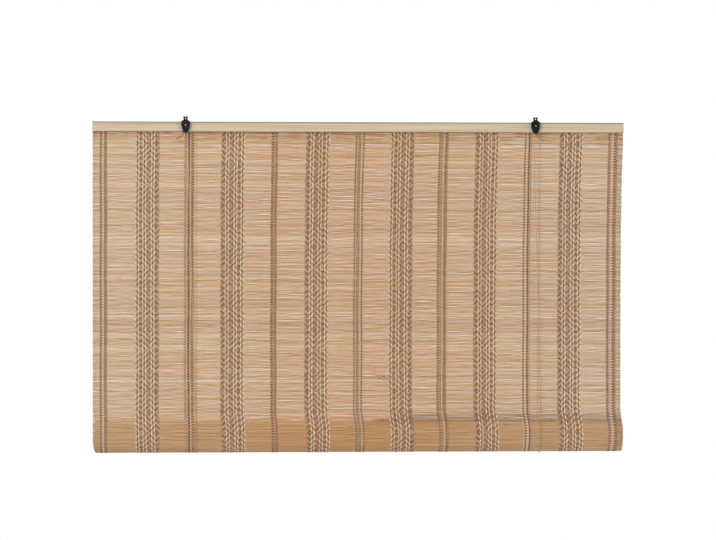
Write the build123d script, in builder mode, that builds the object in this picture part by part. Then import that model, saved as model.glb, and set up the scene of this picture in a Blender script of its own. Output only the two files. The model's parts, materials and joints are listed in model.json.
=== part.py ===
from build123d import *
import math
import os

os.makedirs("parts", exist_ok=True)

# A roll up blind of woven bamboo slats, shown part way up. All sizes are in millimetres.
# +X runs along the head rail, -Y is the room side and +Z is up. The origin lies midway between the two
# hanging holes, in the plane where the pulley plates lie on the front of the head rail.

# Head rail
rail_length = 1200
rail_height = 22
rail_depth = 12
rail_edge_round = 1.6
rail_top = -7

# Mat of slats held by woven threads
mat_end_inset = 1
slat_pitch = 3.11
slat_height = 2.75
slat_thickness = 1.5
slat_corner = 0.55
thread_thickness = 0.35
thread_clearance = 0.1
hem_drop = 25

# Rolled up lower part of the mat
roll_radius = 38
roll_turn_pitch = 3.0
roll_thickness = 2.6
roll_half_turns = 18
roll_centre_drop = 717
rod_radius = 8.75

# Bands of warp threads
band_count = 13
edge_band_inset = 23
narrow_strand_pitch = 8
narrow_strand_width = 2.4
wide_strand_pitch = 4.6
wide_strand_width = 2.2
wide_strand_count = 12

# Rear batten that clamps the mat, and its nails
batten_height = 18
batten_depth = 8
nail_radius = 0.7
nail_head_radius = 1.8
nail_head_thickness = 0.8
nail_depth_in_rail = 8
nail_clearance = 0.05
nailed_slat = 3

# Pulley brackets
pulley_inset_left = 209
pulley_inset_right = 201
plate_thickness = 1.2
body_radius = 9.6
body_corner_radius = 1.5
body_corner_x = 7.9
body_corner_z = -7.2
neck_corner_x = 3.4
neck_corner_z = -4.6
tip_radius = 6.3
tip_z = -26.5
tab_width = 9.5
tab_flare_width = 11
tab_flare_z = 1.5
tab_top_z = 5
tab_notch_radius = 9
tab_notch_depth = 0.9
hanging_hole_radius = 1.25
axle_z = -15
axle_radius = 1.5
axle_clearance = 0.05
axle_depth_in_rail = 9
axle_head_radius = 2.4
axle_head_height = 1.8
axle_head_rounding = 1.45
guide_rivet_radius = 1.6
guide_rivet_tail_radius = 1.1
guide_rivet_head_radius = 1.9
guide_rivet_head_height = 0.7
guide_rivet_head_rounding = 0.5

# Sheaves
sheave_radius = 6.5
sheave_width = 5
sheave_side_gap = 0.5
cord_on_sheave_radius = 4.2
groove_clearance = 0.3
groove_rim_half_width = 1.9

# Lift cords
cord_radius = 1.0
cord_lean = 19
cord_gap = 0.3
cord_stub_z = -36
sling_clearance = 0.3
sling_rear_angle = 10
tail_exit_z = -24
tail_route = {
    "left": [(0, 0), (0.5, -7), (3, -15), (10, -19.5), (18, -21.7)],
    "right": [(0, 0), (-1, -7.3), (0.5, -15), (6.8, -20.2), (13.8, -24.1)],
}
corner_share = 0.45

# Screw eyes in the rear batten, and the tied ends of the cords
eye_ring_radius = 4.5
eye_wire_radius = 0.9
eye_stand_off = 7.2
eye_z = -18
eye_screw_depth = 6
tie_loop_radius = 2.5
knot_radius = 2.0
knot_drop = 6.2
knot_height = 3.4
knot_rounding = 0.8

# Places worked out from the sizes above
pulley_spacing = rail_length - pulley_inset_left - pulley_inset_right
pulley_x = {"left": -pulley_spacing / 2, "right": pulley_spacing / 2}
inner_side = {"left": 1, "right": -1}
rail_left = -pulley_spacing / 2 - pulley_inset_left
rail_bottom = rail_top - rail_height
mat_left = rail_left + mat_end_inset
mat_width = rail_length - 2 * mat_end_inset

thread_front_y = rail_depth + thread_clearance
slat_front_y = thread_front_y + thread_thickness + thread_clearance
thread_rear_y = slat_front_y + slat_thickness + thread_clearance
hem_front_y = thread_rear_y + thread_thickness + thread_clearance
batten_front_y = hem_front_y + slat_thickness + thread_clearance
batten_rear_y = batten_front_y + batten_depth
batten_z = rail_top - batten_height / 2

roll_y = rail_depth + roll_radius
roll_z = -roll_centre_drop
slat_top_z = rail_top - slat_height / 2
front_run_drop = slat_top_z - roll_z - slat_height / 2
slat_rows = [slat_top_z - i * slat_pitch for i in range(math.floor(front_run_drop / slat_pitch) + 1)]
hem_rows = [z for z in slat_rows if z > rail_bottom - hem_drop]
nail_z = slat_rows[nailed_slat]

band_pitch = (mat_width - 2 * edge_band_inset) / (band_count - 1)
band_x = [mat_left + edge_band_inset + i * band_pitch for i in range(band_count)]
nail_x = [x + band_pitch / 2 for x in band_x[:-1:2]]

sheave_y = -plate_thickness - sheave_side_gap - sheave_width / 2
cheek_rear_y = -plate_thickness - 2 * sheave_side_gap - sheave_width
cheek_front_y = cheek_rear_y - plate_thickness
plate_gap = sheave_width + 2 * sheave_side_gap

sling_radius = roll_radius + sling_clearance + cord_radius
eye_y = batten_rear_y + eye_stand_off
tie_z = eye_z - eye_ring_radius
rear_run_top = tie_z - knot_drop
rear_angle = math.radians(sling_rear_angle)
rear_run_low_y = roll_y + sling_radius * math.cos(rear_angle)
rear_run_low_z = roll_z + sling_radius * math.sin(rear_angle)


def save(part, label):
    part.label = label
    export_step(part, f"parts/{label}.step")


# Head rail: a straight lath with eased edges, bored for the pulley bolts and the nails.
with BuildPart() as head_rail:
    with BuildSketch(Plane.YZ.offset(rail_left)):
        with Locations((rail_depth / 2, rail_top - rail_height / 2)):
            RectangleRounded(rail_depth, rail_height, rail_edge_round)
    extrude(amount=rail_length)
    with BuildSketch(Plane.XZ):
        with Locations(*[(x, axle_z) for x in pulley_x.values()]):
            Circle(axle_radius + axle_clearance)
    extrude(amount=-axle_depth_in_rail, mode=Mode.SUBTRACT)
    with BuildSketch(Plane.XZ.offset(-rail_depth)):
        with Locations(*[(x, nail_z) for x in nail_x]):
            Circle(nail_radius + nail_clearance)
    extrude(amount=nail_depth_in_rail, mode=Mode.SUBTRACT)
save(head_rail.part, "head_rail")

# Rear batten: clamps the folded top of the mat against the head rail.
with BuildPart() as rear_batten:
    with BuildSketch(Plane.YZ.offset(rail_left)):
        with Locations((batten_front_y + batten_depth / 2, batten_z)):
            RectangleRounded(batten_depth, batten_height, rail_edge_round)
    extrude(amount=rail_length)
    with BuildSketch(Plane.XZ.offset(-batten_rear_y)):
        with Locations(*[(x, nail_z) for x in nail_x]):
            Circle(nail_radius + nail_clearance)
    extrude(amount=batten_depth, mode=Mode.SUBTRACT)
    with BuildSketch(Plane.XZ.offset(-batten_rear_y)):
        with Locations(*[(x + inner_side[s] * cord_on_sheave_radius + cord_lean, eye_z)
                         for s, x in pulley_x.items()]):
            Circle(eye_wire_radius + nail_clearance)
    extrude(amount=eye_screw_depth + nail_clearance, mode=Mode.SUBTRACT)
save(rear_batten.part, "rear_batten")

# Nails: driven from the rear through the batten and the mat into the head rail.
with BuildPart() as batten_nails:
    with BuildSketch(Plane.XZ.offset(-batten_rear_y)):
        with Locations(*[(x, nail_z) for x in nail_x]):
            Circle(nail_head_radius)
    extrude(amount=-nail_head_thickness)
    with BuildSketch(Plane.XZ.offset(-batten_rear_y)):
        with Locations(*[(x, nail_z) for x in nail_x]):
            Circle(nail_radius)
    extrude(amount=batten_rear_y - rail_depth + nail_depth_in_rail - nail_clearance)
save(batten_nails.part, "batten_nails")

# Slats of the flat hanging part of the mat, and of its top end, which is folded back behind it.
# The nails pass through both layers.
with BuildPart() as mat_slats:
    with BuildSketch(Plane.YZ.offset(mat_left)):
        with Locations(*[(slat_front_y + slat_thickness / 2, z) for z in slat_rows]):
            RectangleRounded(slat_thickness, slat_height, slat_corner)
        with Locations(*[(hem_front_y + slat_thickness / 2, z) for z in hem_rows]):
            RectangleRounded(slat_thickness, slat_height, slat_corner)
    extrude(amount=mat_width)
    with BuildSketch(Plane.XZ.offset(-batten_front_y)):
        with Locations(*[(x, nail_z) for x in nail_x]):
            Circle(nail_radius + nail_clearance)
    extrude(amount=batten_front_y - rail_depth, mode=Mode.SUBTRACT)
save(mat_slats.part, "mat_slats")


def strand_offsets(index):
    """Where the threads of one band lie across it, and how wide each is. Narrow and wide bands alternate."""
    if index % 2 == 1:
        middle = (wide_strand_count - 1) / 2
        return [(i - middle) * wide_strand_pitch for i in range(wide_strand_count)], wide_strand_width
    return [-narrow_strand_pitch, 0, narrow_strand_pitch], narrow_strand_width


# Warp bands: narrow and wide bands of threads take turns across the mat. Each thread has a run in
# front of the slats and one behind them.
for index, centre_x in enumerate(band_x):
    offsets, width = strand_offsets(index)
    with BuildPart() as warp_band:
        with BuildSketch(Plane.XY.offset(roll_z)):
            for layer_y in (thread_front_y, thread_rear_y):
                with Locations(*[(centre_x + dx, layer_y + thread_thickness / 2) for dx in offsets]):
                    Rectangle(width, thread_thickness)
        extrude(amount=rail_top - roll_z)
    save(warp_band.part, f"warp_band_{index + 1:02d}")

# Rolled mat: one spiral of half circles about two centres half a turn pitch apart. Its outer end
# stands at the front of the roll, where the flat part of the mat ends.
with BuildPart() as rolled_mat:
    with BuildSketch(Plane.YZ.offset(mat_left)):
        with BuildLine():
            for k in range(roll_half_turns):
                outer = roll_radius - k * roll_turn_pitch / 2
                inner = outer - roll_thickness
                side = 1 if k % 2 else -1
                arc_y = roll_y + (roll_turn_pitch / 2 if k % 2 else 0)
                for radius in (outer, inner):
                    ThreePointArc(
                        (arc_y + side * radius, roll_z),
                        (arc_y, roll_z + side * radius),
                        (arc_y - side * radius, roll_z),
                    )
            Line((roll_y - roll_radius, roll_z), (roll_y - roll_radius + roll_thickness, roll_z))
            Line((arc_y - side * outer, roll_z), (arc_y - side * inner, roll_z))
        make_face()
    extrude(amount=mat_width)
save(rolled_mat.part, "rolled_mat")

# Bottom rod: the mat's lower end is wound on it.
with BuildPart() as bottom_rod:
    with BuildSketch(Plane.YZ.offset(mat_left)):
        with Locations((roll_y + roll_turn_pitch / 4, roll_z)):
            Circle(rod_radius)
    extrude(amount=mat_width)
save(bottom_rod.part, "bottom_rod")


def plate_outline(x):
    """The outline that both plates of a pulley share: a sloping neck, two shoulders and a round body that
    narrows to its lower end."""
    with Locations((x - neck_corner_x, neck_corner_z), (x + neck_corner_x, neck_corner_z)):
        Circle(body_corner_radius)
    with Locations((x - body_corner_x, body_corner_z), (x + body_corner_x, body_corner_z)):
        Circle(body_corner_radius)
    with Locations((x, axle_z)):
        Circle(body_radius)
    with Locations((x, tip_z)):
        Circle(tip_radius)
    make_hull()


def plate_holes(x):
    """The holes that both plates share, for the pulley bolt and for the guide rivet."""
    with Locations((x, axle_z)):
        Circle(axle_radius + axle_clearance, mode=Mode.SUBTRACT)
    with Locations((x, tip_z)):
        Circle(guide_rivet_tail_radius, mode=Mode.SUBTRACT)


def fitted_radii(points):
    """The largest arc at each corner of a cord's route that its two runs have room for."""
    radii = []
    for before, corner, after in zip(points, points[1:], points[2:]):
        shorter = min((corner - before).length, (after - corner).length)
        turn = math.radians((corner - before).get_angle(after - corner))
        radii.append(corner_share * shorter / math.tan(turn / 2))
    return radii


for side_name, x in pulley_x.items():
    inward = inner_side[side_name]

    # Back plate: lies on the head rail, with the hanging tab above it.
    with BuildPart() as back_plate:
        with BuildSketch(Plane.XZ):
            plate_outline(x)
            with Locations((x, 0)):
                Polygon(
                    (-tab_width / 2, axle_z),
                    (tab_width / 2, axle_z),
                    (tab_width / 2, tab_flare_z),
                    (tab_flare_width / 2, tab_top_z),
                    (-tab_flare_width / 2, tab_top_z),
                    (-tab_width / 2, tab_flare_z),
                    align=None,
                )
            with Locations((x, tab_top_z + tab_notch_radius - tab_notch_depth)):
                Circle(tab_notch_radius, mode=Mode.SUBTRACT)
            with Locations((x, 0)):
                Circle(hanging_hole_radius, mode=Mode.SUBTRACT)
            plate_holes(x)
        extrude(amount=plate_thickness)
    save(back_plate.part, f"pulley_back_plate_{side_name}")

    # Front cheek: covers the sheave.
    with BuildPart() as front_cheek:
        with BuildSketch(Plane.XZ.offset(-cheek_rear_y)):
            plate_outline(x)
            plate_holes(x)
        extrude(amount=plate_thickness)
    save(front_cheek.part, f"pulley_front_cheek_{side_name}")

    # Pulley bolt: a domed head in front of the cheek, and a shaft that carries the sheave and holds the
    # bracket to the head rail.
    with BuildPart() as pulley_bolt:
        with BuildSketch(Plane.XZ.offset(-cheek_front_y)):
            with Locations((x, axle_z)):
                Circle(axle_head_radius)
        extrude(amount=axle_head_height)
        fillet(pulley_bolt.faces().sort_by(Axis.Y)[0].edges(), axle_head_rounding)
        with BuildSketch(Plane.XZ.offset(-cheek_front_y)):
            with Locations((x, axle_z)):
                Circle(axle_radius)
        extrude(amount=cheek_front_y - axle_depth_in_rail + axle_clearance)
    save(pulley_bolt.part, f"pulley_bolt_{side_name}")

    # Guide rivet: keeps the two plates apart below the sheave.
    with BuildPart() as guide_rivet:
        with BuildSketch(Plane.XZ.offset(plate_thickness)):
            with Locations((x, tip_z)):
                Circle(guide_rivet_radius)
        extrude(amount=plate_gap)
        with BuildSketch(Plane.XZ):
            with Locations((x, tip_z)):
                Circle(guide_rivet_tail_radius)
        extrude(amount=-cheek_front_y)
        with BuildSketch(Plane.XZ.offset(-cheek_front_y)):
            with Locations((x, tip_z)):
                Circle(guide_rivet_head_radius)
        extrude(amount=guide_rivet_head_height)
        fillet(guide_rivet.faces().sort_by(Axis.Y)[0].edges(), guide_rivet_head_rounding)
    save(guide_rivet.part, f"pulley_guide_rivet_{side_name}")

    # Sheave: a grooved wheel that turns on the bolt. The groove clears the cord all round.
    groove_radius = cord_radius + groove_clearance
    with BuildPart() as sheave:
        with BuildSketch(Plane.XY.offset(axle_z)):
            with Locations((x + sheave_radius / 2, sheave_y)):
                Rectangle(sheave_radius, sheave_width)
            with Locations((x + (axle_radius + axle_clearance) / 2, sheave_y)):
                Rectangle(axle_radius + axle_clearance, sheave_width, mode=Mode.SUBTRACT)
            with Locations((x + cord_on_sheave_radius, sheave_y)):
                Circle(groove_radius, mode=Mode.SUBTRACT)
            with BuildLine():
                Polyline(
                    (x + cord_on_sheave_radius, sheave_y - groove_radius),
                    (x + sheave_radius, sheave_y - groove_rim_half_width),
                    (x + sheave_radius, sheave_y + groove_rim_half_width),
                    (x + cord_on_sheave_radius, sheave_y + groove_radius),
                    close=True,
                )
            make_face(mode=Mode.SUBTRACT)
        revolve(axis=Axis((x, sheave_y, axle_z), (0, 1, 0)), revolution_arc=360)
    save(sheave.part, f"pulley_sheave_{side_name}")

    # Top of the lift cord: up from the front run, over the sheave and down beside the guide rivet.
    run_x = x + inward * cord_on_sheave_radius
    tail_x = x - inward * cord_on_sheave_radius
    with BuildPart() as cord_top:
        with BuildLine() as route:
            Line((run_x, sheave_y, cord_stub_z), (run_x, sheave_y, axle_z))
            ThreePointArc(
                (run_x, sheave_y, axle_z),
                (x, sheave_y, axle_z + cord_on_sheave_radius),
                (tail_x, sheave_y, axle_z),
            )
            Line((tail_x, sheave_y, axle_z), (tail_x, sheave_y, tail_exit_z))
        with BuildSketch(Plane.XY.offset(cord_stub_z)):
            with Locations((run_x, sheave_y)):
                Circle(cord_radius)
        sweep(path=route.line)
    save(cord_top.part, f"lift_cord_top_{side_name}")

    # Free tail of the lift cord: cut short below the bracket, it bends away from the front run.
    tail_steps = tail_route[side_name]
    tail_points = [Vector(tail_x - inward * dx, sheave_y, tail_exit_z + dz) for dx, dz in tail_steps]
    tail_radii = fitted_radii(tail_points)
    with BuildPart() as cord_tail:
        with BuildLine() as tail:
            FilletPolyline(*tail_points, radius=tail_radii)
        with BuildSketch(Plane(origin=tail_points[0], z_dir=tail_points[1] - tail_points[0])):
            Circle(cord_radius)
        sweep(path=tail.line)
    tail_length = sum(edge.length for edge in tail.edges())
    tube_volume = math.pi * cord_radius**2 * tail_length
    print(f"tail {side_name} radii", [round(r, 1) for r in tail_radii], "length", round(tail_length, 1))
    print("volume over section times length", round(cord_tail.part.volume / tube_volume, 4))
    save(cord_tail.part, f"lift_cord_tail_{side_name}")

    # Front run of the lift cord: straight from below the bracket to the front of the roll.
    low_x = run_x + cord_lean
    low_y = roll_y - sling_radius
    run_rise = cord_stub_z - (roll_z + cord_gap)
    run_vector = Vector(run_x - low_x, sheave_y - low_y, run_rise)
    with BuildPart() as cord_front:
        with BuildSketch(Plane.XY.offset(roll_z + cord_gap)):
            with Locations((low_x, low_y)):
                Circle(cord_radius)
        extrude(amount=run_vector.length, dir=run_vector.normalized())
    save(cord_front.part, f"lift_cord_front_{side_name}")

    # Sling of the lift cord: the bight that carries the roll.
    middle = math.radians((180 + 360 + sling_rear_angle) / 2)
    with BuildPart() as cord_sling:
        with BuildLine() as bight:
            ThreePointArc(
                (low_x, low_y, roll_z),
                (low_x, roll_y + sling_radius * math.cos(middle), roll_z + sling_radius * math.sin(middle)),
                (low_x, rear_run_low_y, rear_run_low_z),
            )
        with BuildSketch(Plane.XY.offset(roll_z)):
            with Locations((low_x, low_y)):
                Circle(cord_radius)
        sweep(path=bight.line)
    save(cord_sling.part, f"lift_cord_sling_{side_name}")

    # Rear run of the lift cord: from the back of the roll up to the tied end.
    rear_rise = rear_run_top - rear_run_low_z - cord_gap
    rear_vector = Vector(0, eye_y - rear_run_low_y, rear_rise)
    with BuildPart() as cord_rear:
        with BuildSketch(Plane.XY.offset(rear_run_low_z + cord_gap)):
            with Locations((low_x, rear_run_low_y)):
                Circle(cord_radius)
        extrude(amount=rear_vector.length, dir=rear_vector.normalized())
    save(cord_rear.part, f"lift_cord_rear_{side_name}")

    # Tied end of the lift cord: a loop through the screw eye and a small knot below it.
    with BuildPart() as cord_tie:
        with BuildSketch(Plane.XY.offset(tie_z)):
            with Locations((low_x + tie_loop_radius, eye_y)):
                Circle(cord_radius)
        revolve(axis=Axis((low_x, eye_y, tie_z), (0, 1, 0)), revolution_arc=360)
        with BuildSketch(Plane.XY.offset(rear_run_top)):
            with Locations((low_x, eye_y)):
                Circle(knot_radius)
        extrude(amount=knot_height)
        fillet(cord_tie.faces().sort_by(Axis.Z)[0].edges(), knot_rounding)
    save(cord_tie.part, f"lift_cord_tie_{side_name}")

    # Screw eye in the rear batten.
    with BuildPart() as screw_eye:
        with BuildSketch(Plane.XY.offset(eye_z)):
            with Locations((low_x, eye_y + eye_ring_radius)):
                Circle(eye_wire_radius)
        revolve(axis=Axis((low_x, eye_y, eye_z), (1, 0, 0)), revolution_arc=360)
        with BuildSketch(Plane.XZ.offset(-(eye_y - eye_ring_radius))):
            with Locations((low_x, eye_z)):
                Circle(eye_wire_radius)
        extrude(amount=eye_y - eye_ring_radius - batten_rear_y + eye_screw_depth)
    save(screw_eye.part, f"rear_screw_eye_{side_name}")
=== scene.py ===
import json
import math

import bpy
import numpy as np
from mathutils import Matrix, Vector


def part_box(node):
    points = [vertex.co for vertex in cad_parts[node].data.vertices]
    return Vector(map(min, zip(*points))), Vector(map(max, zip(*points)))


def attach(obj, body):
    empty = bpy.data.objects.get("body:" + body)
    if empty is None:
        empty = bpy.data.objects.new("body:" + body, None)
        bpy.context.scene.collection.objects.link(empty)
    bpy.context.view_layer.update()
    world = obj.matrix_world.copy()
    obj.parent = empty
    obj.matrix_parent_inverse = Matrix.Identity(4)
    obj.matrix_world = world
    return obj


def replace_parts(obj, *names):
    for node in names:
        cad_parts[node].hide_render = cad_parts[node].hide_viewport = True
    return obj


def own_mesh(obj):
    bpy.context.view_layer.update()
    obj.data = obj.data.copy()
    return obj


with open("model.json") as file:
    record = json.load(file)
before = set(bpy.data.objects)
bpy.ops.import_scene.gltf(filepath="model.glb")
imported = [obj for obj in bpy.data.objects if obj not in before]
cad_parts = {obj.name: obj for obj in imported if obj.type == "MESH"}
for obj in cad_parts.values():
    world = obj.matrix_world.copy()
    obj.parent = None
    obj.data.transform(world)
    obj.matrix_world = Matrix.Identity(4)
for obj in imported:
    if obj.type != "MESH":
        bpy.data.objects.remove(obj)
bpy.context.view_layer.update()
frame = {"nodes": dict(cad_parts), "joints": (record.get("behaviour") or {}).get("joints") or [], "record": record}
random = np.random.default_rng(14)

MM = 0.001

# The mat's sizes, the same as the construction's
SLAT_PITCH = 3.11 * MM
SLAT_HEIGHT = 2.75 * MM
SLAT_THICKNESS = 1.5 * MM
HEM_DROP = 47 * MM
ROLL_TURN_PITCH = 3.0 * MM
ROLL_HALF_TURNS = 18
BAND_COUNT = 13
EDGE_BAND_INSET = 23 * MM
THREAD_OUT = 1.02 * MM

# How far each band lies from an even spacing, in millimetres
BAND_SHIFTS = [0.0, 2.0, 1.0, 2.0, 0.0, -0.2, -2.2, -2.2, -3.3, -1.4, -3.8, -2.0, -1.6]

# Twill of the wide bands, one letter for each thread. The turned bands, counted from 0, have it reversed.
WIDE_BAND = "mddldldmdldlddldl"
TURNED_BANDS = (1, 7)
WIDE_THREAD_PITCH = 3.16 * MM
WIDE_THREAD_WIDTH = 2.8 * MM
TWILL_PERIOD = 4
TWILL_REVERSE = 15

# Narrow bands, from left to right, with a letter for each thread and a dot for each empty place. A capital
# letter is a pair of threads that shows at every slat, a small one a single thread that shows at every
# other slat.
NARROW_BANDS = [
    "..dbdlldbdb..",
    "ttt.dRdltbbt.",
    "..dddttddt...",
    ".dd.gmgml.dd.",
    "bbttttwtddbt.",
    "l.rrllpRrpg..",
    "bddpplldddbt.",
]
NARROW_PLACE_PITCH = 1.85 * MM
NARROW_THREAD_WIDTH = 1.7 * MM
THREAD_THICKNESS = 0.36 * MM
THREAD_WAVER = 0.35 * MM
THREAD_WAVE = 37 * MM

# How the mat hangs. Below the rail its right hand part is drawn in, and it is let out again at the roll.
# BAND_DRAWN_IN is how far the mat is drawn in where the bands' places across are given.
DRAWN_IN = 6.2 * MM
DRAW_START = 45 * MM
DRAW_LENGTH = 150 * MM
LET_OUT_START = 645 * MM
LET_OUT_LENGTH = 55 * MM
FULLY_DRAWN_WIDTH = 620 * MM
BAND_DRAWN_IN = 4.9 * MM
LEFT_OVERHANG = 0.4 * MM
RIGHT_OVERHANG = 0.8 * MM

# How the mat's left end draws in where the roll turns under
TURN_START = 8 * MM
TURN_LENGTH = 37 * MM
TURNED_IN = 4.5 * MM

# How much the ends of the slats scatter, and how much the slats bow and twist between the bands
END_SCATTER = 0.5 * MM
BOW = 0.22 * MM
TWIST = 0.10 * MM
BOW_AT_BANDS = 0.15
ROLLED_SLAT_GROWTH = 1.06
KNOT_SPACING = 310 * MM

# Where the roll's painted shade starts across: from ROLL_TOP_SHARE of the roll's radius above its middle, a little
# low on the left and higher towards the right. The roll itself is drawn even.
ROLL_SHADE_DIP = 3 * MM
ROLL_SHADE_RISE = 21 * MM
ROLL_SHADE_RISE_START = -50 * MM
ROLL_SHADE_RISE_WIDTH = 220 * MM
ROLL_TOP_SHARE = 0.9

# Cords
CORD_RADIUS = 1.0 * MM
CORD_STRANDS = 3
CORD_LAY = 7 * MM
SHEAVE_CORD_RADIUS = 4.2 * MM
AXLE_Z = -15 * MM
SLING_REAR_ANGLE = math.radians(10)
TIE_LOOP_RADIUS = 2.5 * MM
KNOT_HEIGHT = 3.4 * MM
TAIL_EXIT_Z = -24 * MM
TAIL_ROUTES = {
    "left": [(0, 0), (0.5, -7), (3, -15), (10, -19.5), (18, -21.7)],
    "right": [(0, 0), (-1, -7.3), (0.5, -15), (6.8, -20.2), (13.8, -24.1)],
}
TAIL_TINTS = {"left": "6E5028", "right": "A06A38"}
OUTWARD = {"left": -1, "right": 1}

# Share of its height that the lower part of the flat mat keeps once the roll has climbed all the way
KEPT_HEIGHT = 0.002

joints = {joint["name"]: joint for joint in frame["joints"]}
roll_y, roll_z = joints["roll_turn"]["pos_m"][1:]
travel = joints["lift"]["range_m"][1]
mat_low, mat_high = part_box("mat_slats")
rail_low, rail_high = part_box("head_rail")

mat_top = rail_high.z
flat_length = mat_top - roll_z
slat_y = mat_low.y + SLAT_THICKNESS / 2
outer_radius = roll_y - slat_y
flat_rows = int((flat_length - SLAT_HEIGHT) / SLAT_PITCH) + 1
lower_length = travel / (1 - KEPT_HEIGHT)
split_drop = flat_length - lower_length
half_turn_radii = outer_radius - np.arange(ROLL_HALF_TURNS) * ROLL_TURN_PITCH / 2
half_turn_starts = np.concatenate([[0], np.cumsum(math.pi * half_turn_radii)])
outer_turn_end = flat_length + half_turn_starts[2] + SLAT_PITCH
mat_length = flat_length + half_turn_starts[-1]
thread_rows = int(outer_turn_end / SLAT_PITCH)
band_pitch = (mat_high.x - mat_low.x - 2 * EDGE_BAND_INSET) / (BAND_COUNT - 1)
band_x = [mat_low.x + EDGE_BAND_INSET + i * band_pitch for i in range(BAND_COUNT)]


def smooth(share):
    """Eases a share from 0 to 1."""
    return share * share * (3 - 2 * share)


def srgb(text):
    """A colour written as six hexadecimal digits, as the linear numbers that shaders use."""
    parts = [int(text[i:i + 2], 16) / 255 for i in (0, 2, 4)]
    return np.array([p / 12.92 if p <= 0.04045 else ((p + 0.055) / 1.055) ** 2.4 for p in parts])


THREAD_COLOURS = {
    "d": srgb("7A5140"),
    "b": srgb("7E5A3C"),
    "m": srgb("A0746A"),
    "l": srgb("F4E0CC"),
    "p": srgb("DDB8A4"),
    "w": srgb("F3E8D6"),
    "g": srgb("938A78"),
    "r": srgb("7C4334"),
    "t": srgb("B08A68"),
}


# ---------------------------------------------------------------- camera, light and floor

def make_camera():
    """Level, a little to the left of the blind's middle, and far off."""
    data = bpy.data.cameras.new("camera")
    data.sensor_width = 36
    data.lens = 122.6
    camera = bpy.data.objects.new("camera", data)
    bpy.context.scene.collection.objects.link(camera)
    yaw = math.radians(2.8)
    target = Vector((-0.0071, 0.0, -0.3406))
    distance = 5.5
    camera.location = target + distance * Vector((-math.sin(yaw), -math.cos(yaw), 0))
    camera.rotation_euler = (math.pi / 2, 0, -yaw)
    bpy.context.scene.camera = camera


def make_world():
    """Even white surroundings, seen at full white and giving a softer light."""
    world = bpy.data.worlds.new("studio")
    bpy.context.scene.world = world
    world.use_nodes = True
    nodes = world.node_tree.nodes
    links = world.node_tree.links
    nodes.clear()
    path = nodes.new("ShaderNodeLightPath")
    seen = nodes.new("ShaderNodeBackground")
    seen.inputs["Color"].default_value = (1, 1, 1, 1)
    seen.inputs["Strength"].default_value = 1.0
    light = nodes.new("ShaderNodeBackground")
    light.inputs["Color"].default_value = (1, 0.985, 0.965, 1)
    light.inputs["Strength"].default_value = 0.42
    mix = nodes.new("ShaderNodeMixShader")
    output = nodes.new("ShaderNodeOutputWorld")
    links.new(path.outputs["Is Camera Ray"], mix.inputs["Fac"])
    links.new(light.outputs["Background"], mix.inputs[1])
    links.new(seen.outputs["Background"], mix.inputs[2])
    links.new(mix.outputs["Shader"], output.inputs["Surface"])


def make_light(name, place, target, size, power):
    data = bpy.data.lights.new(name, "AREA")
    data.shape = "DISK"
    data.size = size
    data.energy = power
    light = bpy.data.objects.new(name, data)
    light.location = place
    light.rotation_euler = (Vector(target) - Vector(place)).to_track_quat("-Z", "Y").to_euler()
    bpy.context.scene.collection.objects.link(light)


def make_floor():
    """A plain pale floor below the hanging blind, with rounded corners."""
    depth = -1.65
    half = 1.6
    corner = 0.4
    outline = []
    for quarter in range(4):
        for step in range(9):
            angle = math.pi / 2 * (quarter + step / 8)
            middle_x = (half - corner) * (1 if quarter in (0, 3) else -1)
            middle_y = (half - corner) * (1 if quarter in (0, 1) else -1)
            x = middle_x + corner * math.cos(angle)
            y = middle_y + corner * math.sin(angle)
            outline.append((x, y, depth))
    mesh = bpy.data.meshes.new("floor")
    mesh.from_pydata(outline, [], [list(range(len(outline)))])
    floor = bpy.data.objects.new("floor", mesh)
    bpy.context.scene.collection.objects.link(floor)
    mesh.materials.append(new_material("floor_pale", (0.80, 0.80, 0.79), 0.8)[0])


# ---------------------------------------------------------------- materials

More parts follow.
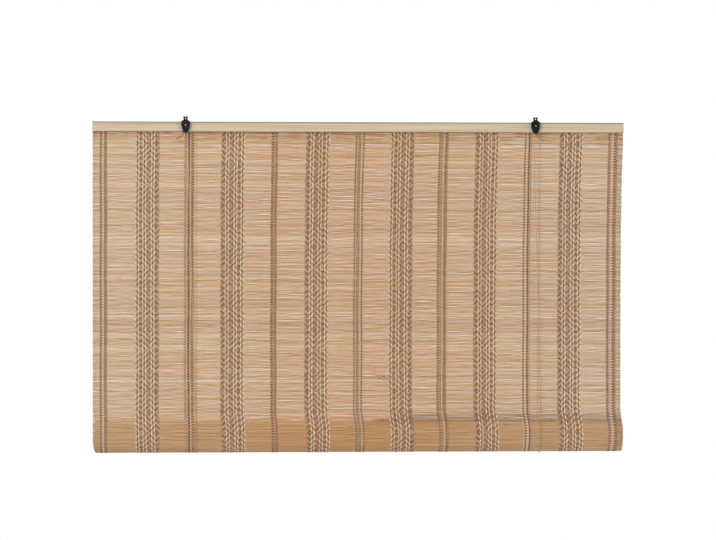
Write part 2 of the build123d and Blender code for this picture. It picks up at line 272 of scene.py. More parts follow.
class Build:
    """One material's nodes, with short calls for the ones used here."""

    def __init__(self, material):
        self.nodes = material.node_tree.nodes
        self.links = material.node_tree.links
        self.shader = self.nodes["Principled BSDF"]

    def join(self, source, target):
        self.links.new(source, target)

    def math(self, operation, first, second=0.0):
        node = self.nodes.new("ShaderNodeMath")
        node.operation = operation
        for socket, value in zip(node.inputs, (first, second)):
            if isinstance(value, (int, float)):
                socket.default_value = value
            else:
                self.join(value, socket)
        return node.outputs[0]

    def attribute(self, name, output="Color"):
        node = self.nodes.new("ShaderNodeAttribute")
        node.attribute_name = name
        return node.outputs[output]

    def place(self, scale):
        """Object coordinates, stretched."""
        coordinates = self.nodes.new("ShaderNodeTexCoord")
        mapping = self.nodes.new("ShaderNodeMapping")
        mapping.inputs["Scale"].default_value = scale
        self.join(coordinates.outputs["Object"], mapping.inputs["Vector"])
        return mapping.outputs["Vector"]

    def coordinate(self, axis):
        """Where a point lies along X, Y or Z."""
        node = self.nodes.new("ShaderNodeSeparateXYZ")
        self.join(self.place((1, 1, 1)), node.inputs[0])
        return node.outputs[axis]

    def noise(self, scale, detail=3.0, roughness=0.5):
        node = self.nodes.new("ShaderNodeTexNoise")
        node.inputs["Scale"].default_value = 1.0
        node.inputs["Detail"].default_value = detail
        node.inputs["Roughness"].default_value = roughness
        self.join(self.place(scale), node.inputs["Vector"])
        return node.outputs["Fac"]

    def spread(self, value, low, high, to_low=0.0, to_high=1.0):
        node = self.nodes.new("ShaderNodeMapRange")
        node.interpolation_type = "SMOOTHSTEP"
        node.inputs["From Min"].default_value = low
        node.inputs["From Max"].default_value = high
        node.inputs["To Min"].default_value = to_low
        node.inputs["To Max"].default_value = to_high
        self.join(value, node.inputs["Value"])
        return node.outputs["Result"]

    def mix(self, share, first, second, blend="MIX"):
        node = self.nodes.new("ShaderNodeMix")
        node.data_type = "RGBA"
        node.blend_type = blend
        colours = (node.inputs[6], node.inputs[7])
        for socket, value in zip((node.inputs["Factor"], *colours), (share, first, second)):
            if isinstance(value, (int, float)):
                socket.default_value = value
            elif isinstance(value, (tuple, np.ndarray)):
                socket.default_value = (*value, 1)
            else:
                self.join(value, socket)
        return node.outputs[2]

    def colour(self, value):
        self.join(value, self.shader.inputs["Base Color"])

    def rough(self, value):
        self.join(value, self.shader.inputs["Roughness"])

    def bump(self, height, distance, strength=0.6):
        node = self.nodes.new("ShaderNodeBump")
        node.inputs["Distance"].default_value = distance
        node.inputs["Strength"].default_value = strength
        self.join(height, node.inputs["Height"])
        self.join(node.outputs["Normal"], self.shader.inputs["Normal"])


def new_material(name, colour, roughness, metallic=0.0):
    material = bpy.data.materials.new(name)
    material.use_nodes = True
    build = Build(material)
    build.shader.inputs["Base Color"].default_value = (*colour, 1)
    build.shader.inputs["Roughness"].default_value = roughness
    build.shader.inputs["Metallic"].default_value = metallic
    return material, build


def make_bamboo():
    """Split bamboo: each slat has its own tint, with fibres, paler and redder stretches and thin knots."""
    material, build = new_material("bamboo", (0.6, 0.4, 0.2), 0.6)
    tint = build.attribute("tint")
    fibres = build.noise((28, 2400, 2400), 4)
    patches = build.noise((5, 240, 240), 2)
    stains = build.noise((11, 330, 330), 2)
    colour = build.mix(build.spread(fibres, 0.35, 0.7, 0.0, 0.45), tint, (0.36, 0.19, 0.08))
    colour = build.mix(build.spread(patches, 0.5, 0.75, 0.0, 0.5), colour, (0.78, 0.58, 0.38))
    colour = build.mix(build.spread(stains, 0.58, 0.78, 0.0, 0.45), colour, (0.50, 0.27, 0.15))
    along = build.attribute("along", "Fac")
    from_knot = build.math("ABSOLUTE", build.math("SUBTRACT", build.math("FRACT", along), 0.5))
    knot = build.spread(from_knot, 0.002, 0.006, 0.35, 0.0)
    build.colour(build.mix(knot, colour, (0.20, 0.10, 0.045)))
    build.rough(build.spread(fibres, 0.3, 0.8, 0.52, 0.76))
    build.shader.inputs["Specular IOR Level"].default_value = 0.28
    build.bump(fibres, 0.00012)
    return material


def make_thread():
    """Matt spun thread, its colour from the weave, with the fibre's small unevenness."""
    material, build = new_material("thread", (0.4, 0.3, 0.2), 0.85)
    tint = build.attribute("tint")
    fuzz = build.noise((900, 1500, 1500), 2)
    wear = build.noise((60, 60, 60), 2)
    colour = build.mix(build.spread(fuzz, 0.3, 0.75, 0.0, 0.35), tint, (0.62, 0.48, 0.34))
    colour = build.mix(build.spread(wear, 0.5, 0.8, 0.0, 0.35), colour, (0.70, 0.52, 0.36))
    build.colour(colour)
    build.rough(build.spread(fuzz, 0.3, 0.8, 0.75, 0.95))
    build.bump(fuzz, 0.00015)
    return material


def make_rail_wood():
    """Pale softwood with long straight grain, with painted shade: a greyer strip along its top edge, where the
    eased edge turns up away from the light.
    """
    material, build = new_material("rail_wood", (0.65, 0.52, 0.37), 0.6)
    grain = build.noise((3.2, 520, 520), 5, 0.6)
    streaks = build.noise((1.3, 120, 120), 3)
    pores = build.noise((45, 2600, 2600), 2)
    colour = build.mix(build.spread(grain, 0.35, 0.7), (0.70, 0.58, 0.42), (0.55, 0.41, 0.27))
    colour = build.mix(build.spread(streaks, 0.5, 0.8, 0.0, 0.5), colour, (0.46, 0.32, 0.20))
    colour = build.mix(build.spread(pores, 0.62, 0.75, 0.0, 0.3), colour, (0.36, 0.25, 0.16))
    # Painted shade: the top few millimetres of the rail are mixed towards grey.
    painted_top_shade = build.spread(build.coordinate("Z"), rail_high.z - 3.6 * MM, rail_high.z - 2.4 * MM, 0.0, 0.85)
    build.colour(build.mix(painted_top_shade, colour, (0.27, 0.245, 0.21)))
    build.rough(build.spread(grain, 0.3, 0.8, 0.5, 0.7))
    build.shader.inputs["Specular IOR Level"].default_value = 0.35
    build.bump(grain, 0.0002, 0.4)
    return material


def make_black_steel():
    """Black japanned sheet steel: slightly uneven gloss, with small rubbed spots."""
    material, build = new_material("black_steel", (0.018, 0.020, 0.022), 0.35)
    cloud = build.noise((260, 260, 260), 3)
    rubbed = build.noise((900, 900, 900), 4, 0.7)
    bare = build.spread(rubbed, 0.62, 0.75, 0.0, 0.6)
    build.colour(build.mix(bare, (0.003, 0.004, 0.004), (0.035, 0.045, 0.040)))
    build.rough(build.spread(cloud, 0.3, 0.75, 0.3, 0.55))
    build.shader.inputs["Specular IOR Level"].default_value = 0.22
    build.bump(cloud, 0.00008, 0.5)
    return material


def make_bright_steel():
    """Zinc plated steel with fine turning marks and a few dull spots."""
    material, build = new_material("bright_steel", (0.66, 0.67, 0.69), 0.25, 1.0)
    marks = build.noise((1500, 1500, 1500), 3)
    dull = build.noise((420, 420, 420), 3)
    build.colour(build.mix(build.spread(dull, 0.5, 0.75, 0.0, 0.6), (0.72, 0.73, 0.75), (0.42, 0.42, 0.42)))
    build.rough(build.spread(marks, 0.3, 0.75, 0.16, 0.42))
    build.bump(marks, 0.00005, 0.4)
    return material


def make_bolt_steel():
    """Blackened steel with a painted highlight: bare bright metal only on the crown of each bolt's head, where the
    dome's glint shows.
    """
    material, build = new_material("bolt_painted_glint", (0.3, 0.3, 0.3), 0.35, 1.0)
    marks = build.noise((1500, 1500, 1500), 3)
    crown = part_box("pulley_bolt_left")[0].y
    # Painted highlight: the frontmost crown of the head is bright metal, the rest black.
    painted_glint = build.spread(build.coordinate("Y"), crown + 0.02 * MM, crown + 0.22 * MM, 1.0, 0.0)
    build.colour(build.mix(painted_glint, (0.02, 0.02, 0.02), (0.50, 0.54, 0.52)))
    build.rough(build.spread(marks, 0.3, 0.75, 0.22, 0.45))
    build.bump(marks, 0.00005, 0.4)
    return material


def make_cord_material():
    """Cotton cord in its own tint, soiled a little along its length."""
    material, build = new_material("lift_cord", (0.45, 0.28, 0.13), 0.85)
    tint = build.attribute("tint")
    fibre = build.noise((2600, 2600, 900), 3)
    soil = build.noise((40, 40, 26), 2)
    colour = build.mix(build.spread(fibre, 0.3, 0.75, 0.0, 0.5), tint, (0.30, 0.17, 0.08))
    build.colour(build.mix(build.spread(soil, 0.5, 0.75, 0.0, 0.35), colour, (0.40, 0.20, 0.09)))
    build.rough(build.spread(fibre, 0.3, 0.8, 0.75, 0.95))
    build.bump(fibre, 0.00015)
    return material


# ---------------------------------------------------------------- meshes made of tubes

class Tubes:
    """Collects tubes, each a row of rings with equally many points, and makes one mesh of them."""

    def __init__(self):
        self.points = []
        self.faces = []
        self.tints = []
        self.alongs = []
        self.count = 0

    def add(self, rings, tint, along=0.0):
        """rings is an array of rings, points and coordinates. tint is one colour, or one for each ring."""
        rows, sides = rings.shape[:2]
        self.points.append(rings.reshape(-1, 3))
        index = self.count + np.arange(rows * sides).reshape(rows, sides)
        beside = np.roll(index, -1, axis=1)
        quads = np.stack([index[:-1], index[1:], beside[1:], beside[:-1]], axis=-1)
        self.faces += quads.reshape(-1, 4).tolist()
        self.faces.append(index[0].tolist())
        self.faces.append(index[-1][::-1].tolist())
        tints = np.broadcast_to(np.asarray(tint, float), (rows, 3))
        self.tints.append(np.repeat(tints, sides, axis=0))
        alongs = np.broadcast_to(np.asarray(along, float), (rows,))
        self.alongs.append(np.repeat(alongs, sides))
        self.count += rows * sides

    def piece(self, name, material, body, slot):
        mesh = bpy.data.meshes.new(name)
        mesh.from_pydata(np.concatenate(self.points), [], self.faces)
        tint = mesh.attributes.new("tint", "FLOAT_COLOR", "POINT")
        colours = np.concatenate(self.tints)
        with_alpha = np.concatenate([colours, np.ones((len(colours), 1))], axis=1)
        tint.data.foreach_set("color", with_alpha.astype(np.float32).ravel())
        along = mesh.attributes.new("along", "FLOAT", "POINT")
        along.data.foreach_set("value", np.concatenate(self.alongs).astype(np.float32))
        mesh.polygons.foreach_set("use_smooth", np.ones(len(mesh.polygons), bool))
        mesh.materials.append(material)
        mesh.update()
        piece = bpy.data.objects.new(name, mesh)
        bpy.context.scene.collection.objects.link(piece)
        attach(piece, body)
        return piece


def gather(piece):
    """Gives a piece of the lower part of the flat mat, the part taken up as the roll climbs, its own copy of its
    mesh.
    """
    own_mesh(piece)


def on_mat(drop, out):
    """Where a point of the mat is: drop is how far it lies below the mat's top edge along the mat, and out
    how far it stands out of the slats' middle. Below the front of the roll the mat follows the spiral."""
    drop, out = np.broadcast_arrays(np.asarray(drop, float), np.asarray(out, float))
    arc = drop - flat_length
    half_turn = np.clip(np.searchsorted(half_turn_starts, arc, side="right") - 1, 0, ROLL_HALF_TURNS - 1)
    radius = half_turn_radii[half_turn]
    angle = (half_turn % 2) * math.pi + (arc - half_turn_starts[half_turn]) / radius
    middle_y = roll_y + (half_turn % 2) * ROLL_TURN_PITCH / 2
    rolled = arc > 0
    y = np.where(rolled, middle_y - (radius + out) * np.cos(angle), slat_y - out)
    z = np.where(rolled, roll_z - (radius + out) * np.sin(angle), mat_top - drop)
    return y, z


# ---------------------------------------------------------------- slats

SLAT_TINTS = [
    srgb("DDB98C"), srgb("D8B286"), srgb("E2C396"),
    srgb("D2AA7E"), srgb("E0BC98"), srgb("D3B288"),
    srgb("CBA076"), srgb("E9CFAA"), srgb("DBB08C"),
]
SLAT_SHARES = [0.22, 0.18, 0.14, 0.12, 0.10, 0.08, 0.06, 0.06, 0.04]
SLAT_DEPTH_OF_COLOUR = 0.93
# Painted shade for the slats over the roll, in place of the light that the roll keeps from shining through the
# mat: the darker tint they drift towards, and ROLL_SHADE, which darkens slats between the roll's top and the
# shade's raised edge and lightens them where that edge is lowered.
ROLL_SHADE_TINT = srgb("D5B088")
ROLL_SHADE = 0.68
# Painted shadow: the front slat row where the hem behind ends is darkened by this factor.
HEM_LINE_PAINTED_SHADOW = 0.72
WARM_MIDDLE = np.array([0.97, 0.83, 0.68])
SLAT_SECTION = [(-0.33, 0.5), (0.33, 0.5), (0.5, 0.12), (0.42, -0.5), (-0.42, -0.5), (-0.5, 0.12)]

# One slat with a paler stretch and a knot in it, and the splinters split off the slats below it: where they
# start and end across, their drops at the start, the middle and the end, and their colour
PALE_SLAT_DROP = 535 * MM
PALE_SLAT_KNOT = 47 * MM
PALE_STRETCH = (0, 80 * MM)
PALE_GAIN = 1.3
SPLINTERS = [
    (28, 66, 562, 580, 576, "8A6238"),
    (33, 62, 577, 566, 583, "E6C49A"),
    (40, 68, 581, 575, 588, "7C5630"),
    (30, 58, 571, 583, 571, "D8B084"),
]


def slat_stations():
    """Places along a slat: its ends, the edges of the wide bands, the narrow bands and points in between.
    With each goes how freely the slat bows there."""
    places = []
    half_wide = WIDE_THREAD_PITCH * len(WIDE_BAND) / 2
    for i, x in enumerate(band_x):
        if i % 2:
            places += [(x - half_wide, BOW_AT_BANDS), (x + half_wide, BOW_AT_BANDS)]
        else:
            places.append((x, BOW_AT_BANDS))
        if i < BAND_COUNT - 1:
            near = half_wide if i % 2 else 0
            far = 0 if i % 2 else half_wide
            start = x + near
            gap = band_pitch - near - far
            places += [(start + gap * 0.3, 1.0), (start + gap * 0.7, 1.0)]
    return np.array([p[0] for p in places]), np.array([p[1] for p in places])


def drawn_in(drop):
    """How far the mat's right hand part is drawn in. It starts below the rail and ends at the roll."""
    below_rail = 1 - np.exp(-np.maximum(drop - DRAW_START, 0) / DRAW_LENGTH)
    at_roll = np.clip((drop - LET_OUT_START) / LET_OUT_LENGTH, 0, 1)
    return DRAWN_IN * below_rail * (1 - smooth(at_roll))


def edge_pull(drop):
    """How far the mat's two ends stand inside the rail's, left and right. The left one draws in where the
    roll turns under."""
    turned_under = min(max((drop - flat_length - TURN_START) / TURN_LENGTH, 0), 1)
    left = -LEFT_OVERHANG + LEFT_OVERHANG * drop / flat_length + TURNED_IN * turned_under ** 1.5
    return left, drawn_in(drop) - RIGHT_OVERHANG


def roll_shade_rise(x):
    """How much higher the top edge of the roll's painted shade stands at some places across than at an even
    roll's top: a little low on the left, and higher in the right half."""
    across = np.clip((x - ROLL_SHADE_RISE_START) / ROLL_SHADE_RISE_WIDTH, 0, 1)
    return ROLL_SHADE_RISE * smooth(across) - ROLL_SHADE_DIP


def roll_shade_share(drop, rise):
    """How far a slat lies in the roll's painted shade, from 0 to 1. rise lifts the shade's top edge."""
    top = flat_length - ROLL_TOP_SHARE * outer_radius - rise
    return np.clip((drop - top) / SLAT_PITCH + 0.5, 0, 1)


def slat_tint(stations, drop):
    """One slat's colour at each of its stations: its own tint, drifting a little along it. The mat is
    browner in its middle than at its two ends. The slats over the roll get painted shade, in place of the light
    that the roll keeps from shining through the mat: they are darker and differ less. Near the roll's top the
    painted shade reaches higher or lower across, darkening or lightening the slats there."""
    base = SLAT_TINTS[random.choice(len(SLAT_TINTS), p=SLAT_SHARES)]
    level = random.normal(1.0, 0.045)
    drift = np.interp(stations, np.linspace(mat_low.x, mat_high.x, 9), random.normal(0, 0.045, 9))
    in_roll_shade = roll_shade_share(drop, roll_shade_rise(stations))
    shade = ROLL_SHADE ** (in_roll_shade - roll_shade_share(drop, 0))
    level = shade * (1 + (1 - 0.6 * in_roll_shade) * (level - 1))
    drift = (1 - 0.5 * in_roll_shade) * drift
    base = SLAT_DEPTH_OF_COLOUR * (base + 0.8 * in_roll_shade[:, None] * (ROLL_SHADE_TINT - base))
    middle = np.exp(-(stations / 0.4) ** 2)[:, None]
    return base * (level + drift)[:, None] * (1 - middle * (1 - WARM_MIDDLE))


def add_slat(tubes, drop, y_shift=0.0, plain=False, shade=1.0):
    """One slat of the mat, at its drop, with uneven ends and a slight bow between the bands."""
    rolled = drop > flat_length - ROLL_TOP_SHARE * outer_radius
    left, right = edge_pull(drop)
    start = rail_low.x + left + abs(random.normal(0, END_SCATTER))
    end = rail_high.x - right - abs(random.normal(0, END_SCATTER))
    stations, free = slat_stations()
    if plain:
        stations, free = stations[[0, -1]], free[[0, -1]]
    x = np.concatenate([[start], stations, [end]])
    free = np.concatenate([[1.0], free, [1.0]])
    bow = random.normal(0, BOW, len(x)) * free
    twist = random.normal(0, TWIST, len(x)) * free
    height = SLAT_HEIGHT * (ROLLED_SLAT_GROWTH if rolled else random.normal(0.99, 0.03))
    tall = height * (1 + random.normal(0, 0.02, len(x)))
    tall = np.clip(tall, 0.8 * SLAT_HEIGHT, 1.09 * SLAT_HEIGHT)
    rings = np.empty((len(x), len(SLAT_SECTION), 3))
    for i, (down, out) in enumerate(SLAT_SECTION):
        y, z = on_mat(drop + bow + down * tall, out * SLAT_THICKNESS + twist)
        rings[:, i] = np.stack([x, y + y_shift, z], axis=-1)
    along = (x - mat_low.x) / KNOT_SPACING + random.uniform(0, 7)
    tints = slat_tint(x, drop) * shade
    if abs(drop - PALE_SLAT_DROP) < SLAT_PITCH / 2 and not y_shift:
        along = (x - PALE_SLAT_KNOT) / KNOT_SPACING + 0.5
        tints[(x > PALE_STRETCH[0]) & (x < PALE_STRETCH[1])] *= PALE_GAIN
    tubes.add(rings, tints, along)


def make_slats(bamboo):
    """The mat's slats: the flat part in two pieces, the hem folded behind its top, and the roll."""
    upper, lower, outer, inner = Tubes(), Tubes(), Tubes(), Tubes()
    drops = np.arange(SLAT_HEIGHT / 2, mat_length, SLAT_PITCH)
    for row, drop in enumerate(drops):
        if row < flat_rows:
            # A painted shadow line darkens the front slat where the hem behind it ends.
            at_hem_end = abs(drop - HEM_DROP) < SLAT_PITCH / 2
            shade = HEM_LINE_PAINTED_SHADOW if at_hem_end else 1.0
            add_slat(upper if drop < split_drop else lower, drop, shade=shade)
        elif drop < outer_turn_end:
            add_slat(outer, drop)
        else:
            add_slat(inner, drop, plain=True)
    hem_shift = mat_high.y - SLAT_THICKNESS / 2 - slat_y
    for drop in drops[drops < HEM_DROP]:
        add_slat(upper, drop, hem_shift)
    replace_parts(upper.piece("mat_slats_upper", bamboo, "head", "bamboo"), "mat_slats")
    gather(lower.piece("mat_slats_lower", bamboo, "head", "bamboo"))
    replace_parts(outer.piece("roll_slats_outer", bamboo, "roll", "bamboo"), "rolled_mat")
    inner.piece("roll_slats_inner", bamboo, "roll", "bamboo")


def make_splinters(bamboo):
    """Thin splinters that stand off the front of the mat a little."""
    tubes = Tubes()
    for start, end, first, middle, last, colour in SPLINTERS:
        share = np.linspace(0, 1, 9)
        x = (start + (end - start) * share) * MM
        bend = first + (last - first) * share + 2 * (2 * middle - first - last) * share * (1 - share)
        lift = (0.3 + 0.7 * np.sin(math.pi * share)) * MM
        y, z = on_mat(bend * MM, 0.5 * SLAT_THICKNESS + lift)
        rings = np.empty((len(x), 4, 3))
        for i, (down, out) in enumerate([(-0.5, 0), (0, 0.5), (0.5, 0), (0, -0.5)]):
            rings[:, i] = np.stack([x, y - out * 0.5 * MM, z - down * 0.9 * MM], axis=-1)
        tubes.add(rings, srgb(colour))
    gather(tubes.piece("mat_splinters", bamboo, "head", "bamboo"))


# ---------------------------------------------------------------- warp threads

def floats(in_front):
    """Runs of neighbouring slats that a thread passes on one side: first slat, last slat and side."""
    ends = np.flatnonzero(np.diff(in_front)) + 1
    starts = np.concatenate([[0], ends])
    stops = np.concatenate([ends, [len(in_front)]]) - 1
    return starts, stops, in_front[starts]


def thread_rings(x, in_front, width):
    """Rings of a thread that passes in front of some slats and behind the others. x is its place across.
    The more a thread lies to the right, up to a width, the more the mat's drawing in takes it along."""
    starts, stops, side = floats(in_front)
    reach = 0.40 * SLAT_HEIGHT
    first = SLAT_HEIGHT / 2 + starts * SLAT_PITCH - reach
    last = SLAT_HEIGHT / 2 + stops * SLAT_PITCH + reach
    drop = np.stack([first, last], axis=-1).ravel()
    out = np.repeat(np.where(side, 1, -1) * THREAD_OUT, 2)
    share = min(max((x - mat_low.x) / FULLY_DRAWN_WIDTH, 0), 1)
    waver = THREAD_WAVER * np.sin(drop / THREAD_WAVE + x * 40)
    across = x + share * (BAND_DRAWN_IN - drawn_in(drop)) + waver
    rings = np.empty((len(drop), 4, 3))
    for i, (aside, proud) in enumerate([(-0.5, 0.0), (0.0, 0.5), (0.5, 0.0), (0.0, -0.5)]):
        y, z = on_mat(drop, out + proud * THREAD_THICKNESS)
        rings[:, i] = np.stack([across + aside * width, y, z], axis=-1)
    return drop, rings


def wide_threads(index):
    """The threads of a wide band: place across, colour letter and the slats it is in front of."""
    letters = WIDE_BAND[::-1] if index in TURNED_BANDS else WIDE_BAND
    half = len(letters) / 2
    step = np.arange(thread_rows) % (2 * TWILL_REVERSE)
    lean = np.where(step < TWILL_REVERSE, step, 2 * TWILL_REVERSE - step)
    threads = []
    for i, letter in enumerate(letters):
        inwards = i if i < half else len(letters) - 1 - i
        in_front = (inwards + lean + index) % TWILL_PERIOD < TWILL_PERIOD / 2
        threads.append(((i + 0.5 - half) * WIDE_THREAD_PITCH, letter, in_front))
    return threads


def narrow_threads(index):
    """The threads of a narrow band, in the same form."""
    letters = NARROW_BANDS[index // 2]
    rows = np.arange(thread_rows)
    threads = []
    for i, letter in enumerate(letters):
        place = (i - (len(letters) - 1) / 2) * NARROW_PLACE_PITCH
        if letter != ".":
            later = letter.lower() in "lpwtbm"
            threads.append((place, letter, rows % 2 == later))
        if letter.isupper():
            threads.append((place, letter, rows % 2 != later))
    return threads


def make_bands(thread):
    """The warp bands, each in three pieces: above and below the place where the lifted roll stops, and on
    the outer turn of the roll."""
    for index, centre_x in enumerate(band_x):
        upper, lower, rolled = Tubes(), Tubes(), Tubes()
        wide = index % 2 == 1
        threads = wide_threads(index) if wide else narrow_threads(index)
        width = WIDE_THREAD_WIDTH if wide else NARROW_THREAD_WIDTH
        for place, letter, in_front in threads:
            colour = THREAD_COLOURS[letter.lower()] * random.normal(1.06, 0.06)
            across = centre_x + BAND_SHIFTS[index] * MM + place
            drop, rings = thread_rings(across, in_front, width)
            first_lower = int(np.searchsorted(drop, split_drop))
            first_rolled = int(np.searchsorted(drop, flat_length))
            shade = 1 + random.normal(0, 0.08, (len(drop), 1))
            tint = np.clip(colour * shade, 0, 1)
            upper.add(rings[:first_lower + 1], tint[:first_lower + 1])
            lower.add(rings[first_lower:first_rolled + 1], tint[first_lower:first_rolled + 1])
            rolled.add(rings[first_rolled:], tint[first_rolled:])
        number = f"{index + 1:02d}"
        piece = upper.piece(f"band_{number}_upper", thread, "head", "warp_thread")
        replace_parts(piece, f"warp_band_{number}")
        gather(lower.piece(f"band_{number}_lower", thread, "head", "warp_thread"))
        rolled.piece(f"band_{number}_rolled", thread, "roll", "warp_thread")


# ---------------------------------------------------------------- cords

CORD_TINT = srgb("DDB486")


def strand_tubes(tubes, path, radius, tint):
    """Twisted strands along a path, an array of points."""
    path = np.asarray(path, float)
    ahead = np.gradient(path, axis=0)
    ahead /= np.linalg.norm(ahead, axis=1)[:, None]
    side = np.cross(ahead[0], (1.0, 0.0, 0.0))
    if np.linalg.norm(side) < 0.1:
        side = np.cross(ahead[0], (0.0, 1.0, 0.0))
    sides = []
    for direction in ahead:
        side = side - direction * (side @ direction)
        side = side / np.linalg.norm(side)
        sides.append(side)
    first = np.array(sides)
    second = np.cross(ahead, first)
    run = np.concatenate([[0], np.cumsum(np.linalg.norm(np.diff(path, axis=0), axis=1))])
    strand_radius = 0.54 * radius
    for strand in range(CORD_STRANDS):
        turn = 2 * math.pi * (run / CORD_LAY + strand / CORD_STRANDS)
        outwards = first * np.cos(turn)[:, None] + second * np.sin(turn)[:, None]
        centre = path + (radius - strand_radius) * outwards
        rings = np.empty((len(path), 5, 3))
        for i in range(5):
            angle = 2 * math.pi * i / 5
            rings[:, i] = centre + strand_radius * (first * math.cos(angle) + second * math.sin(angle))
        tubes.add(rings, tint)


def straight_path(start, end):
    """Points close enough together on a straight run for its strands to twist smoothly."""
    count = int((Vector(end) - Vector(start)).length / (CORD_LAY / 7)) + 2
    return np.linspace(start, end, count)


def arc_path(middle, radius, first, last, plane):
    """Points on a round stretch of a cord that lies on something round, from one angle to another. plane
    gives the two directions in which the angle is measured."""
    count = int(abs(last - first) * radius / (CORD_LAY / 7)) + 3
    angles = np.linspace(first, last, count)
    across, up = np.array(plane, float)
    return np.array(middle) + radius * (np.cos(angles)[:, None] * across + np.sin(angles)[:, None] * up)


def smooth_path(name, points):
    """The line of a free cord: a NURBS spline with those points as its control points."""
    data = bpy.data.curves.new(name, "CURVE")
    data.dimensions = "3D"
    spline = data.splines.new("NURBS")
    spline.points.add(len(points) - 1)
    for point, place in zip(spline.points, points):
        point.co = (*place, 1)
    spline.order_u = 3
    spline.use_endpoint_u = True
    spline.resolution_u = 12
    curve = bpy.data.objects.new(name, data)
    bpy.context.scene.collection.objects.link(curve)
    line = bpy.data.meshes.new_from_object(curve)
    path = np.array([vertex.co for vertex in line.vertices])
    bpy.data.objects.remove(curve)
    bpy.data.meshes.remove(line)
    return path


def cord_piece(name, path, material, body, nodes, tint=CORD_TINT):
    """A twisted cord along a path, in place of the CAD nodes named."""
    tubes = Tubes()
    strand_tubes(tubes, path, CORD_RADIUS, tint)
    piece = tubes.piece(name, material, body, "lift_cord")
    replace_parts(piece, *nodes)
    return piece


def make_tie(side, material):
    """The cord's tied end: a loop through the screw eye, and a knot of a few tight turns below it."""
    low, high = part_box(f"lift_cord_tie_{side}")
    x = (low.x + high.x) / 2
    y = (low.y + high.y) / 2
    loop_z = high.z - TIE_LOOP_RADIUS - CORD_RADIUS
    loop = arc_path((x, y, loop_z), TIE_LOOP_RADIUS, -math.pi / 2, 1.5 * math.pi, ((1, 0, 0), (0, 0, 1)))
    cord_piece(f"cord_loop_{side}", loop, material, "head", [f"lift_cord_tie_{side}"])
    turns = np.linspace(0, 4 * 2 * math.pi, 49)
    strand = 0.42 * CORD_RADIUS
    helix = np.stack([
        x + 1.5 * CORD_RADIUS * np.cos(turns),
        y + 1.5 * CORD_RADIUS * np.sin(turns),
        np.linspace(low.z + strand, low.z + KNOT_HEIGHT - strand, len(turns)),
    ], axis=-1)
    knot = Tubes()
    strand_tubes(knot, helix, 0.9 * CORD_RADIUS, 0.8 * CORD_TINT)
    knot.piece(f"cord_knot_{side}", material, "head", "lift_cord")


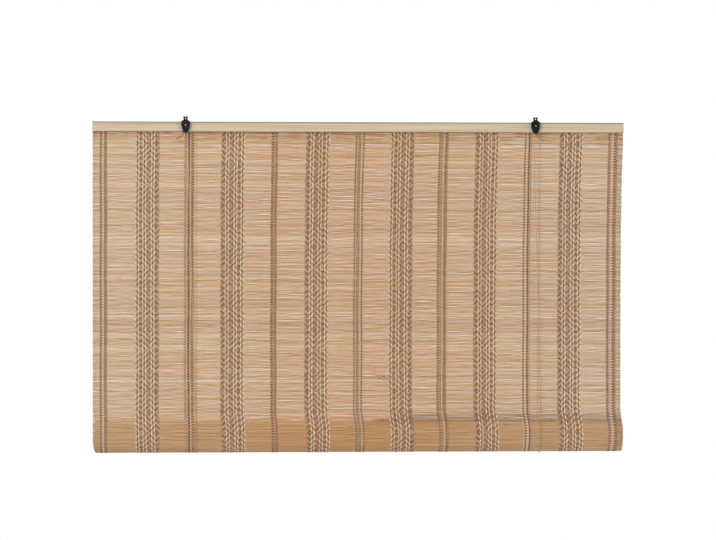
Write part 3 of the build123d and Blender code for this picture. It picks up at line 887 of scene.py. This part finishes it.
def make_cords(material):
    """Both lift cords, each in the runs that move differently: the free tail, the turn over the sheave, the
    front run, the sling under the roll, the rear run and the tied end."""
    for side in ("left", "right"):
        front_low, front_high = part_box(f"lift_cord_front_{side}")
        rear_low, rear_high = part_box(f"lift_cord_rear_{side}")
        sling_low, sling_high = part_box(f"lift_cord_sling_{side}")
        top_low, top_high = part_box(f"lift_cord_top_{side}")
        outward = OUTWARD[side]
        low_x = (sling_low.x + sling_high.x) / 2
        axle_x = (top_low.x + top_high.x) / 2
        sheave_y = (top_low.y + top_high.y) / 2
        run_x = axle_x - outward * SHEAVE_CORD_RADIUS
        tail_x = axle_x + outward * SHEAVE_CORD_RADIUS
        sling_y = sling_low.y + CORD_RADIUS
        sling_radius = roll_y - sling_y

        exit_point = (tail_x, sheave_y, TAIL_EXIT_Z)
        steps = TAIL_ROUTES[side]
        points = [(tail_x + outward * dx * MM, sheave_y, TAIL_EXIT_Z + dz * MM) for dx, dz in steps]
        path = smooth_path(f"tail_line_{side}", points)
        tail = cord_piece(f"cord_tail_{side}", path, material, "head", [f"lift_cord_tail_{side}"],
                          srgb(TAIL_TINTS[side]))

        axle = (axle_x, sheave_y, AXLE_Z)
        over = np.concatenate([
            straight_path((run_x, sheave_y, top_low.z), (run_x, sheave_y, AXLE_Z))[:-1],
            arc_path(axle, SHEAVE_CORD_RADIUS, 0, math.pi, ((-outward, 0, 0), (0, 0, 1))),
            straight_path((tail_x, sheave_y, AXLE_Z), exit_point)[1:],
        ])
        cord_piece(f"cord_top_{side}", over, material, "head", [f"lift_cord_top_{side}"])

        front = straight_path((low_x, sling_y, front_low.z), (run_x, sheave_y, front_high.z))
        piece = cord_piece(f"cord_front_{side}", front, material, "head", [f"lift_cord_front_{side}"])
        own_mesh(piece)

        bight = arc_path((low_x, roll_y, roll_z), sling_radius, math.pi, 2 * math.pi + SLING_REAR_ANGLE,
                         ((0, 1, 0), (0, 0, 1)))
        cord_piece(f"cord_sling_{side}", bight, material, "slings", [f"lift_cord_sling_{side}"])

        tie_low, tie_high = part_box(f"lift_cord_tie_{side}")
        rear_y = (tie_low.y + tie_high.y) / 2
        rear = straight_path((low_x, rear_high.y - CORD_RADIUS, rear_low.z), (low_x, rear_y, rear_high.z))
        piece = cord_piece(f"cord_rear_{side}", rear, material, "head", [f"lift_cord_rear_{side}"])
        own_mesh(piece)
        make_tie(side, material)


def ease_edges(node):
    """Takes the sharpness off the edges of a pressed or turned metal part."""
    bevel = node.modifiers.new("eased_edges", "BEVEL")
    bevel.width = 0.15 * MM
    bevel.segments = 2
    bevel.limit_method = "ANGLE"
    bevel.angle_limit = math.radians(40)


# ---------------------------------------------------------------- the whole

bpy.context.scene.view_settings.view_transform = "Standard"
make_camera()
make_world()
make_light("key", (-2.0, -3.2, 0.9), (0, 0, -0.35), 2.4, 77)
make_light("fill", (2.4, -2.8, -0.7), (0, 0, -0.35), 2.6, 33)
make_light("back", (0.5, 3.0, 0.8), (0, 0, -0.35), 3.0, 38)
make_floor()

bamboo = make_bamboo()
thread = make_thread()
rail_wood = make_rail_wood()
black_steel = make_black_steel()
bright_steel = make_bright_steel()
bolt_steel = make_bolt_steel()
cord_material = make_cord_material()

slot_materials = {
    "rail_wood": rail_wood,
    "black_steel": black_steel,
    "bright_steel": bright_steel,
    "lift_cord": cord_material,
    "bamboo": bamboo,
    "warp_thread": thread,
}
for subpart in frame["record"]["subparts"]:
    node = frame["nodes"][subpart["node"]]
    node.data.materials.clear()
    is_bolt = subpart["node"].startswith("pulley_bolt")
    node.data.materials.append(bolt_steel if is_bolt else slot_materials[subpart["material_slot"]])
    if subpart["node"].startswith(("pulley_back_plate", "pulley_front_cheek", "pulley_sheave")):
        ease_edges(node)

make_slats(bamboo)
make_splinters(bamboo)
make_bands(thread)
make_cords(cord_material)
